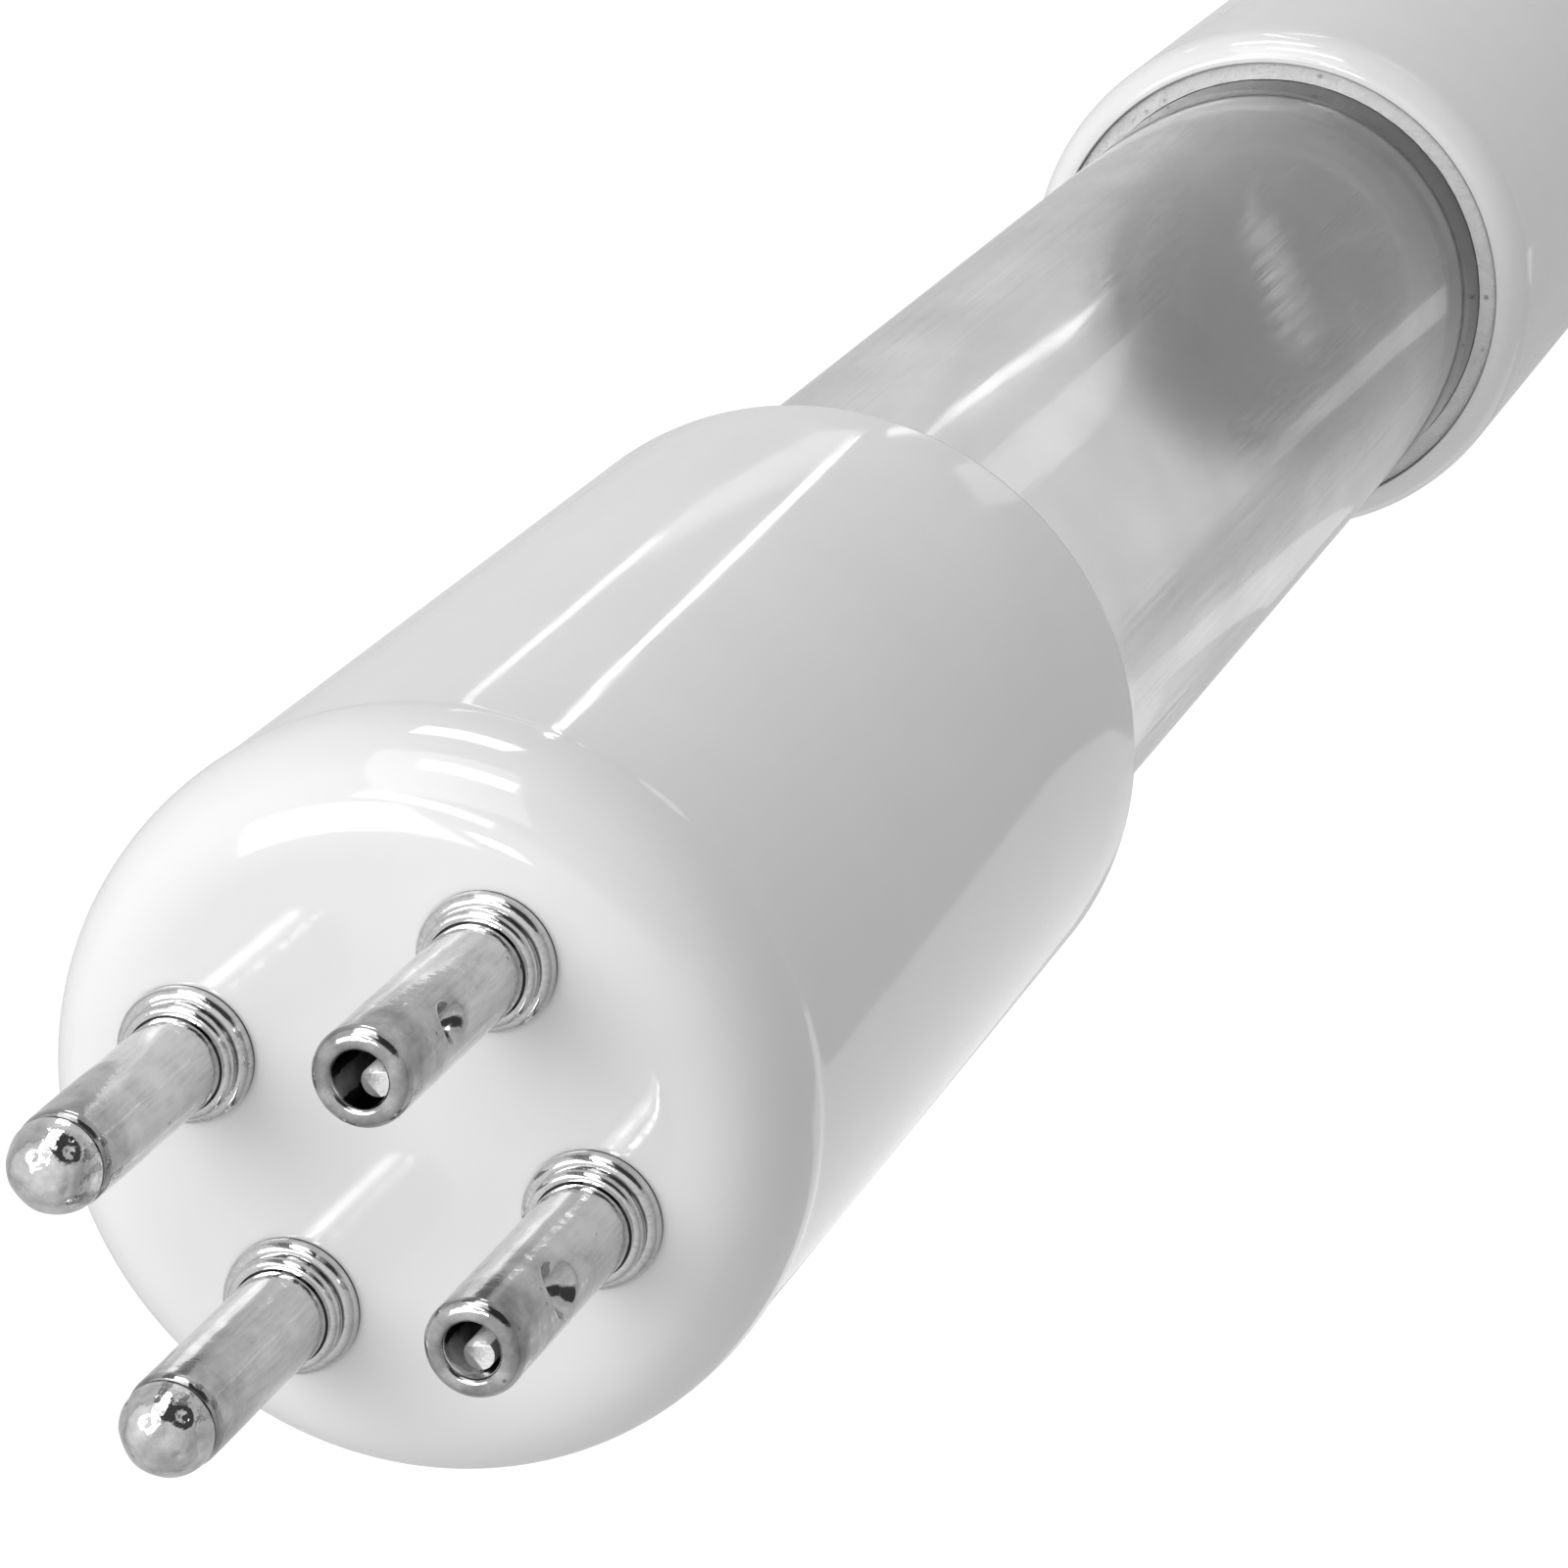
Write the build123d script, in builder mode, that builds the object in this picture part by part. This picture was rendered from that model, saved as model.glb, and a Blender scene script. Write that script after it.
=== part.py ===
from build123d import *
import math
import os

# Single-ended germicidal lamp: a clear quartz tube between a ceramic base with four contact
# pins and a blank ceramic cap. Millimetres, +Z towards the pins, origin at the centre of the
# blank cap's flat end, on which the lamp can stand.

# Both ceramics around the cement
ceramic_wall = 1.0

# Ceramic base
base_length = 33.0
base_front_wall = 5.0
face_edge_width = 2.0
face_edge_depth = 3.0
base_rear_edge_r = 0.8

# Blank ceramic cap
cap_length = 38.0
cap_floor = 3.0
cap_foot_edge_r = 1.0
lip_edge_width = 0.9
lip_edge_depth = 1.6

# Quartz tube, its bare length between the ceramics and its flat pinch seals
tube_d = 15.0
tube_wall = 1.0
light_length = 54.0
shoulder_length = 4.0
pinch_length = 8.0
pinch_width = 13.0
pinch_thickness = 3.0
pinch_corner_r = 1.0
pinch_rib_width = 1.75
pinch_waist_depth = 0.35
pinch_waist_margin = 2.0
cavity_tip_side_wall = 2.0
cavity_tip_end_wall = 1.2
cavity_tip_thickness = 1.2
cavity_tip_corner_r = 0.5

# Cement between the tube and the ceramic bores
cement_gap = 0.6
cement_depth = 8.0
cement_recess = 0.1
seat_clearance = 0.02

# Contact pins, measured from the base's front face
pin_pitch_x = 7.92
pin_pitch_y = 6.35
pin_d = 2.3
pin_bore_d = 1.3
open_pin_height = 7.9
closed_pin_height = 7.15
pin_tip_round = 0.2
pin_mouth_chamfer = 0.15
collar_d = 3.3
collar_thickness = 0.4
collar_step_d = 2.8
collar_height = 0.8
collar_round = 0.12
rivet_d = 3.1
rivet_thickness = 0.4
pin_hole_clearance = 0.05

# Crimp that presses an open pin's wall onto its wire
crimp_height = 4.9
crimp_tool_r = 0.8
crimp_wall = 0.35

# Solder dome that closes a pin
dome_d = 2.2
dome_height = 1.15
dome_plug_depth = 1.0

# Wires
lead_wire_d = 0.7
lead_wire_recess = 0.55
lead_wire_bend_r = 1.2
return_wire_d = 0.45
sleeve_d = 0.9
sleeve_bend_r = 1.2
sleeve_end_gap = 0.5
sleeve_floor_gap = 0.4
sleeve_cross_gap = 0.6
sleeve_side_gap = 0.2
wire_channel_clearance = 0.1
wire_channel_azimuth = -98.0
near_wire_room = 8.0
far_wire_room = 5.0

# Electrodes
lead_pitch = 6.4
inner_lead_d = 0.5
foil_width = 2.0
foil_length = 4.0
foil_thickness = 0.12
foil_inset = 2.0
guard_d = 10.2
guard_height = 5.0
guard_wall = 0.25
guard_lap_width = 1.6
guard_front_offset = 1.6
near_mount_height = 8.8
far_mount_height = 18.8
filament_length = 5.0
filament_d = 1.3
filament_wire_d = 0.3
filament_turns = 7
hook_length = 0.8
hook_bend_r = 0.6
stem_d = 0.5
stem_embed = 4.0
stem_bend_r = 0.8
stem_offset = 1.6
stem_weld_length = 3.5

# Radii that follow
tube_r = tube_d / 2
tube_bore_r = tube_r - tube_wall
ceramic_bore_r = tube_r + cement_gap
base_r = ceramic_bore_r + ceramic_wall
cap_r = ceramic_bore_r + ceramic_wall
pin_r = pin_d / 2
pin_bore_r = pin_bore_d / 2
sleeve_r = sleeve_d / 2
cavity_tip_width = pinch_width - 2 * cavity_tip_side_wall

# Levels that follow, from the blank end to the pins
cap_mouth_z = cap_length
base_mouth_z = cap_mouth_z + light_length
face_z = base_mouth_z + base_length
cavity_top_z = face_z - base_front_wall
far_pinch_end_z = cap_floor + far_wire_room
far_pinch_z = far_pinch_end_z + pinch_length
far_shoulder_z = far_pinch_z + shoulder_length
near_pinch_end_z = cavity_top_z - near_wire_room
near_pinch_z = near_pinch_end_z - pinch_length
near_shoulder_z = near_pinch_z - shoulder_length

# The two sleeved wires lie side by side on the tube, in one channel of each ceramic
sleeve_path_r = tube_r + sleeve_r + 2 * seat_clearance
sleeve_half_angle = math.degrees((sleeve_d + sleeve_side_gap) / 2 / sleeve_path_r)
wire_channel_width = sleeve_d + 2 * wire_channel_clearance


class LampEnd:
    """One end of the quartz tube. outward is +1 at the pins and -1 at the blank cap."""

    def __init__(self, name, outward, pinch_end_z, pinch_z, shoulder_z, mount_height, wire_d):
        self.name = name
        self.outward = outward
        self.pinch_end_z = pinch_end_z
        self.pinch_z = pinch_z
        self.shoulder_z = shoulder_z
        self.cavity_tip_z = pinch_z - outward * cavity_tip_end_wall
        self.wire_d = wire_d
        self.foil_outer_z = pinch_end_z - outward * foil_inset
        self.foil_inner_z = self.foil_outer_z - outward * foil_length
        self.filament_z = shoulder_z - outward * mount_height
        self.guard_front_z = self.filament_z - outward * guard_front_offset
        self.guard_back_z = self.guard_front_z + outward * guard_height


near_end = LampEnd(
    "near", 1, near_pinch_end_z, near_pinch_z, near_shoulder_z, near_mount_height, lead_wire_d
)
far_end = LampEnd(
    "far", -1, far_pinch_end_z, far_pinch_z, far_shoulder_z, far_mount_height, return_wire_d
)
lamp_ends = (near_end, far_end)
lead_sides = (-1, 1)
lead_places = [(0, side * lead_pitch / 2) for side in lead_sides]

# Pins by number: 1 and 3 are closed and end the return wires, 2 and 4 are open
pin_places = {
    1: (-pin_pitch_x / 2, pin_pitch_y / 2),
    2: (pin_pitch_x / 2, pin_pitch_y / 2),
    3: (-pin_pitch_x / 2, -pin_pitch_y / 2),
    4: (pin_pitch_x / 2, -pin_pitch_y / 2),
}

# The wire in each open pin rests on the bore's wall, on the side of this angle
wire_lean_azimuth = {2: -64.0, 4: -114.0}
open_pins = tuple(wire_lean_azimuth)
# The return wires take these angles beside the channel's middle
return_azimuth = {
    1: wire_channel_azimuth + sleeve_half_angle,
    3: wire_channel_azimuth - sleeve_half_angle,
}
closed_pins = tuple(return_azimuth)
# The foils at the far end that the return wires reach, and how low each one passes
return_sides = {1: 1, 3: -1}
far_return_level_z = {
    1: cap_floor + sleeve_floor_gap + sleeve_r,
    3: cap_floor + sleeve_floor_gap + sleeve_r + sleeve_d + sleeve_cross_gap,
}


def keep(builder, label):
    """Names a finished piece and writes it as its own STEP file."""
    builder.part.label = label
    export_step(builder.part, f"parts/{label}.step")


def channel_slot():
    """The channel's cross-section on the XY plane: a slot that follows the tube's surface."""
    with BuildLine(mode=Mode.PRIVATE) as middle:
        CenterArc((0, 0), sleeve_path_r, wire_channel_azimuth - sleeve_half_angle, 2 * sleeve_half_angle)
    return middle.edges()[0]


def ceramic_base():
    """The glazed base: a revolved shell, four pin holes and the wire channel."""
    with BuildPart() as base:
        with BuildSketch(Plane.XZ):
            with BuildLine():
                Polyline((0, face_z), (base_r - face_edge_width, face_z))
                EllipticalCenterArc(
                    (base_r - face_edge_width, face_z - face_edge_depth),
                    face_edge_width,
                    face_edge_depth,
                    start_angle=0,
                    arc_size=90,
                )
                Line((base_r, face_z - face_edge_depth), (base_r, base_mouth_z + base_rear_edge_r))
                RadiusArc(
                    (base_r, base_mouth_z + base_rear_edge_r),
                    (base_r - base_rear_edge_r, base_mouth_z),
                    base_rear_edge_r,
                )
                Polyline(
                    (base_r - base_rear_edge_r, base_mouth_z),
                    (ceramic_bore_r, base_mouth_z),
                    (ceramic_bore_r, cavity_top_z),
                    (0, cavity_top_z),
                    (0, face_z),
                )
            make_face()
        revolve(axis=Axis.Z)
        with BuildSketch(Plane.XY.offset(face_z)):
            with Locations(*pin_places.values()):
                Circle(pin_r + pin_hole_clearance)
        extrude(amount=-base_front_wall, mode=Mode.SUBTRACT)
        with BuildSketch(Plane.XY.offset(base_mouth_z)):
            SlotArc(channel_slot(), wire_channel_width)
        extrude(amount=cavity_top_z - base_mouth_z, mode=Mode.SUBTRACT)
    return base


def end_cap():
    """The blank glazed cap: a cup with a rounded lip round the tube."""
    with BuildPart() as cap:
        with BuildSketch(Plane.XZ):
            with BuildLine():
                Line((0, 0), (cap_r - cap_foot_edge_r, 0))
                RadiusArc((cap_r - cap_foot_edge_r, 0), (cap_r, cap_foot_edge_r), -cap_foot_edge_r)
                Line((cap_r, cap_foot_edge_r), (cap_r, cap_mouth_z - lip_edge_depth))
                EllipticalCenterArc(
                    (cap_r - lip_edge_width, cap_mouth_z - lip_edge_depth),
                    lip_edge_width,
                    lip_edge_depth,
                    start_angle=0,
                    arc_size=90,
                )
                Polyline(
                    (cap_r - lip_edge_width, cap_mouth_z),
                    (ceramic_bore_r, cap_mouth_z),
                    (ceramic_bore_r, cap_floor),
                    (0, cap_floor),
                    (0, 0),
                )
            make_face()
        revolve(axis=Axis.Z)
        with BuildSketch(Plane.XY.offset(cap_floor)):
            SlotArc(channel_slot(), wire_channel_width)
        extrude(amount=cap_mouth_z - cap_floor, mode=Mode.SUBTRACT)
    return cap


def quartz_tube():
    """The quartz envelope: a round tube that closes into a flat pinch seal at each end."""
    with BuildPart() as tube:
        with BuildSketch(Plane.XY.offset(far_shoulder_z)):
            Circle(tube_r)
        extrude(amount=near_shoulder_z - far_shoulder_z)
        for end in lamp_ends:
            with BuildSketch(Plane.XY.offset(end.shoulder_z)):
                Circle(tube_r)
            with BuildSketch(Plane.XY.offset(end.pinch_z)):
                RectangleRounded(pinch_thickness, pinch_width, pinch_corner_r)
            loft()
            with BuildSketch(Plane.XY.offset(end.pinch_z)):
                RectangleRounded(pinch_thickness, pinch_width, pinch_corner_r)
            extrude(amount=end.outward * pinch_length)
        with BuildSketch(Plane.XY.offset(far_shoulder_z)):
            Circle(tube_bore_r)
        extrude(amount=near_shoulder_z - far_shoulder_z, mode=Mode.SUBTRACT)
        for end in lamp_ends:
            with BuildSketch(Plane.XY.offset(end.shoulder_z)):
                Circle(tube_bore_r)
            with BuildSketch(Plane.XY.offset(end.cavity_tip_z)):
                RectangleRounded(cavity_tip_thickness, cavity_tip_width, cavity_tip_corner_r)
            loft(mode=Mode.SUBTRACT)
            with BuildSketch(Plane.XY.offset(end.pinch_end_z)):
                with Locations((-pinch_thickness / 2, 0), (pinch_thickness / 2, 0)):
                    Rectangle(2 * pinch_waist_depth, pinch_width - 2 * pinch_rib_width)
            extrude(amount=-end.outward * (pinch_length - pinch_waist_margin), mode=Mode.SUBTRACT)
            with BuildSketch(Plane.XY.offset(end.pinch_end_z)):
                with Locations(*lead_places):
                    Circle(end.wire_d / 2 + seat_clearance)
            extrude(amount=-end.outward * foil_inset, mode=Mode.SUBTRACT)
            with BuildSketch(Plane.XY.offset(end.foil_outer_z)):
                with Locations(*lead_places):
                    Rectangle(foil_thickness + 2 * seat_clearance, foil_width + 2 * seat_clearance)
            extrude(amount=-end.outward * foil_length, mode=Mode.SUBTRACT)
            with BuildSketch(Plane.XY.offset(end.foil_inner_z)):
                with Locations(*lead_places):
                    Circle(inner_lead_d / 2 + seat_clearance)
            extrude(amount=end.shoulder_z - end.foil_inner_z, mode=Mode.SUBTRACT)
            with BuildSketch(Plane.XY.offset(end.pinch_z + end.outward * stem_embed)):
                Circle(stem_d / 2 + seat_clearance)
            extrude(amount=-end.outward * (stem_embed + shoulder_length), mode=Mode.SUBTRACT)
    return tube


def cement_ring(mouth_z, inward):
    """A cement ring in a ceramic mouth, left open where the sleeved wires pass."""
    start_z = mouth_z + inward * cement_recess
    with BuildPart() as ring:
        with BuildSketch(Plane.XY.offset(start_z)):
            Circle(ceramic_bore_r - seat_clearance)
            Circle(tube_r + seat_clearance, mode=Mode.SUBTRACT)
            SlotArc(channel_slot(), wire_channel_width, mode=Mode.SUBTRACT)
        extrude(amount=inward * cement_depth)
    return ring


def contact_pin(number):
    """A hollow pin with a collar on the ceramic's face and a rivet head behind its wall."""
    x, y = pin_places[number]
    height = closed_pin_height if number in closed_pins else open_pin_height
    collar_r = collar_d / 2
    step_r = collar_step_d / 2
    rivet_r = rivet_d / 2
    rivet_z = -base_front_wall - rivet_thickness
    pin_plane = Plane(origin=(x, y, face_z), x_dir=(1, 0, 0), z_dir=(0, -1, 0))
    with BuildPart() as pin:
        with BuildSketch(pin_plane):
            with BuildLine():
                FilletPolyline(
                    (pin_bore_r, rivet_z),
                    (pin_bore_r, height - pin_mouth_chamfer),
                    (pin_bore_r + pin_mouth_chamfer, height),
                    (pin_r, height),
                    (pin_r, collar_height),
                    (step_r, collar_height),
                    (step_r, collar_thickness),
                    (collar_r, collar_thickness),
                    (collar_r, 0),
                    (pin_r, 0),
                    (pin_r, -base_front_wall),
                    (rivet_r, -base_front_wall),
                    (rivet_r, rivet_z),
                    radius=[0, 0, 0, pin_tip_round, 0, collar_round, 0, collar_round, 0, 0, 0, 0, 0],
                    close=True,
                )
            make_face()
        revolve(axis=Axis((x, y, face_z), (0, 0, 1)))
        if number in open_pins:
            add(crimp_bulge(number).part)
            with Locations(crimp_centre(number)):
                Sphere(crimp_tool_r, mode=Mode.SUBTRACT)
    return pin


def wire_place(number):
    """Where the wire in an open pin stands: against the bore's wall."""
    x, y = pin_places[number]
    lean = Vector(pin_bore_r - lead_wire_d / 2 - seat_clearance, 0, 0)
    lean = lean.rotate(Axis.Z, wire_lean_azimuth[number])
    return x + lean.X, y + lean.Y


def crimp_centre(number):
    """The middle of the round tool that dents an open pin from +X until the wall meets the wire."""
    wire_x, wire_y = wire_place(number)
    wall_x = wire_x + lead_wire_d / 2 + seat_clearance
    return (wall_x + crimp_wall + crimp_tool_r, pin_places[number][1], face_z + crimp_height)


def crimp_bulge(number):
    """The pin's wall pushed into the bore behind the dent."""
    x, y = pin_places[number]
    bulge_r = crimp_tool_r + crimp_wall
    with BuildPart() as bulge:
        with Locations((x, y, face_z + crimp_height)):
            Cylinder((pin_bore_r + pin_r) / 2, 2 * bulge_r)
        with Locations(crimp_centre(number)):
            Sphere(bulge_r, mode=Mode.INTERSECT)
    return bulge


def solder_tip(number):
    """The solder that closes a pin: a dome on its rim with a plug down its bore."""
    x, y = pin_places[number]
    seat_z = face_z + closed_pin_height
    dome_r = dome_d / 2
    plug_r = pin_bore_r - seat_clearance
    dome_plane = Plane(origin=(x, y, seat_z), x_dir=(1, 0, 0), z_dir=(0, -1, 0))
    with BuildPart() as tip:
        with BuildSketch(dome_plane):
            with BuildLine():
                TangentArc((0, dome_height), (dome_r, 0), tangent=(1, 0))
                Polyline(
                    (0, dome_height),
                    (0, -dome_plug_depth),
                    (plug_r, -dome_plug_depth),
                    (plug_r, 0),
                    (dome_r, 0),
                )
            make_face()
        revolve(axis=Axis((x, y, seat_z), (0, 0, 1)))
    return tip


def swept_wire(points, bend_r, wire_d, bore_d=0):
    """A round wire, or a sleeve where bore_d is given, along straight runs with rounded bends."""
    with BuildPart() as wire:
        with BuildLine() as route:
            FilletPolyline(*points, radius=bend_r)
        with BuildSketch(Plane(origin=route.line @ 0, z_dir=route.line % 0)):
            Circle(wire_d / 2)
            if bore_d:
                Circle(bore_d / 2, mode=Mode.SUBTRACT)
        sweep()
    return wire


def lead_wire(number):
    """A wire from the near pinch seal into an open pin, where it rests on the bore's wall."""
    x, y = wire_place(number)
    side = 1 if y > 0 else -1
    lead_y = side * lead_pitch / 2
    return swept_wire(
        [
            (x, y, face_z + open_pin_height - lead_wire_recess),
            (x, y, cavity_top_z - rivet_thickness - lead_wire_bend_r),
            (0, lead_y, near_pinch_end_z + lead_wire_bend_r),
            (0, lead_y, near_end.foil_outer_z),
        ],
        lead_wire_bend_r,
        lead_wire_d,
    )


def return_route(number, top_z, low_end_z):
    """The way of a return wire: down from its pin, along the tube and back up to its foil."""
    x, y = pin_places[number]
    along = Vector(sleeve_path_r, 0, 0).rotate(Axis.Z, return_azimuth[number])
    lead_y = return_sides[number] * lead_pitch / 2
    level_z = far_return_level_z[number]
    return [
        (x, y, top_z),
        (x, y, cavity_top_z - rivet_thickness - sleeve_bend_r),
        (along.X, along.Y, near_pinch_end_z + sleeve_bend_r),
        (along.X, along.Y, level_z),
        (0, lead_y, level_z),
        (0, lead_y, low_end_z),
    ]


def return_wire(number):
    """The bare conductor of a return wire, from a closed pin to the far pinch seal."""
    top_z = face_z + closed_pin_height - dome_plug_depth - seat_clearance
    return swept_wire(return_route(number, top_z, far_end.foil_outer_z), sleeve_bend_r, return_wire_d)


def return_sleeve(number):
    """The insulating sleeve on a return wire, bare only in the pin and at the pinch seal."""
    top_z = cavity_top_z - rivet_thickness - seat_clearance
    return swept_wire(
        return_route(number, top_z, far_pinch_end_z - sleeve_end_gap),
        sleeve_bend_r,
        sleeve_d,
        return_wire_d + 2 * seat_clearance,
    )


def guard_ring(end):
    """The sheet metal ring round a filament, its ends lapped and welded."""
    guard_r = guard_d / 2
    with BuildPart() as ring:
        with BuildSketch(Plane.XY.offset(end.guard_front_z)):
            Circle(guard_r)
            Circle(guard_r - guard_wall, mode=Mode.SUBTRACT)
        extrude(amount=end.outward * guard_height)
        with BuildSketch(Plane.XY.offset(end.guard_front_z)):
            Circle(guard_r + guard_wall)
            Circle(guard_r - guard_wall / 2, mode=Mode.SUBTRACT)
            with Locations((-guard_r, 0)):
                Rectangle(guard_r, guard_lap_width, mode=Mode.INTERSECT)
        extrude(amount=end.outward * guard_height)
    return ring


def guard_stem(end):
    """The wire that holds a guard ring, from the pinch seal to a weld inside the ring."""
    weld_x = guard_d / 2 - guard_wall - stem_d / 2 - seat_clearance
    level_z = end.guard_back_z + end.outward * stem_offset
    return swept_wire(
        [
            (0, 0, end.pinch_z + end.outward * stem_embed),
            (0, 0, level_z),
            (weld_x, 0, level_z),
            (weld_x, 0, end.guard_back_z - end.outward * stem_weld_length),
        ],
        stem_bend_r,
        stem_d,
    )


def inner_lead(end, side):
    """A lead from its foil to the filament, hooked into the coil's open end."""
    lead_y = side * lead_pitch / 2
    return swept_wire(
        [
            (0, lead_y, end.foil_inner_z),
            (0, lead_y, end.filament_z),
            (0, side * (filament_length / 2 - hook_length), end.filament_z),
        ],
        hook_bend_r,
        inner_lead_d,
    )


def seal_foil(end, side):
    """The thin foil that carries the current through the flat seal."""
    with BuildPart() as foil:
        with BuildSketch(Plane.XY.offset(end.foil_outer_z)):
            with Locations((0, side * lead_pitch / 2)):
                Rectangle(foil_thickness, foil_width)
        extrude(amount=-end.outward * foil_length)
    return foil


def filament(end):
    """The coated coil, across the lamp between the two inner leads."""
    coil_length = filament_length - filament_wire_d
    with BuildPart() as coil:
        with BuildLine() as winding:
            Helix(
                coil_length / filament_turns,
                coil_length,
                (filament_d - filament_wire_d) / 2,
                center=(0, -coil_length / 2, end.filament_z),
                direction=(0, 1, 0),
            )
        with BuildSketch(Plane(origin=winding.line @ 0, z_dir=winding.line % 0)):
            Circle(filament_wire_d / 2)
        sweep(is_frenet=True)
    return coil


os.makedirs("parts", exist_ok=True)
keep(ceramic_base(), "ceramic_base")
keep(end_cap(), "end_cap")
keep(quartz_tube(), "quartz_tube")
keep(cement_ring(base_mouth_z, 1), "base_cement")
keep(cement_ring(cap_mouth_z, -1), "cap_cement")
for number in pin_places:
    keep(contact_pin(number), f"contact_pin_{number}")
for number in closed_pins:
    keep(solder_tip(number), f"solder_tip_{number}")
    keep(return_wire(number), f"return_wire_{number}")
    keep(return_sleeve(number), f"return_sleeve_{number}")
for number in open_pins:
    keep(lead_wire(number), f"lead_wire_{number}")
for end in lamp_ends:
    keep(guard_ring(end), f"{end.name}_guard_ring")
    keep(guard_stem(end), f"{end.name}_guard_stem")
    keep(filament(end), f"{end.name}_filament")
    for index, side in enumerate(lead_sides, start=1):
        keep(inner_lead(end, side), f"{end.name}_inner_lead_{index}")
        keep(seal_foil(end, side), f"{end.name}_seal_foil_{index}")
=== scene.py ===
"""Studio scene of a germicidal lamp that stands on its blank cap, seen from above its contact pins.

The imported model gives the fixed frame. The two glazed ceramics, the quartz tube, the cement rings,
the contact pins and the solder domes are modelled here with smooth surfaces in the places of their
nodes. The wires, their sleeves and the electrodes keep the shapes of their nodes, with their facets
merged and shaded smooth. Sizes are in millimetres, and the finished meshes are in metres.
"""

import logging
import math
from dataclasses import dataclass, field
from enum import Enum
from typing import Callable, Iterable, Optional

import bmesh
import bpy
from mathutils import Matrix, Vector, noise

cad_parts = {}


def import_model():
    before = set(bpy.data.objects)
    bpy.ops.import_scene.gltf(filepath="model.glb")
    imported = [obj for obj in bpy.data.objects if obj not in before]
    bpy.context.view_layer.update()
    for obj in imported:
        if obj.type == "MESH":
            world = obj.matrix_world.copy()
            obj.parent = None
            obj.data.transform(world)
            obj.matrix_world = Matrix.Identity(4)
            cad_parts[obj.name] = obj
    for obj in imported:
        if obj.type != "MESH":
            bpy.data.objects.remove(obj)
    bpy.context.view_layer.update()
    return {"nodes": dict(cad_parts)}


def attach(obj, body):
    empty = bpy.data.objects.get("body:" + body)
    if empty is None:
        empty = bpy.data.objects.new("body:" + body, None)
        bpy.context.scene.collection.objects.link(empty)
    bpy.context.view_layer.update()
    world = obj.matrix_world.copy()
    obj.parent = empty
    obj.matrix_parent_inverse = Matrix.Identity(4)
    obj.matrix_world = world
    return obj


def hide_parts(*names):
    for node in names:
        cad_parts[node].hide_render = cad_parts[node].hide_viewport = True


LOG = logging.getLogger("lamp")
BODY = "root"
MM = 0.001
PER_MM = 1000.0

Point = tuple[float, float]
Place = tuple[float, float, float]
Colour = tuple[float, float, float, float]
Socket = bpy.types.NodeSocket
Sockets = bpy.types.bpy_prop_collection
Shape = bmesh.types.BMesh

# Sizes that several pieces share, with heights from the blank cap's end
CERAMIC_RADIUS = 9.1
CERAMIC_BORE = 8.1
CAP_MOUTH = 38.0
BASE_MOUTH = 92.0
FACE = 125.0
FRONT_WALL = 5.0
CHANNEL_AZIMUTH = -98.0
COLLAR_THICKNESS = 0.4
COLLAR_HEIGHT = 0.8
OPEN_PIN_HEIGHT = 7.9
CLOSED_PIN_HEIGHT = 7.15
# A point on the base's front rim, for two of the lamps
RIM_AIM = (5.0, 7.0, 124.0)


def grey(level: float) -> Colour:
    """A neutral colour of the given linear level."""
    return (level, level, level, 1.0)


# Shader trees


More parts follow.
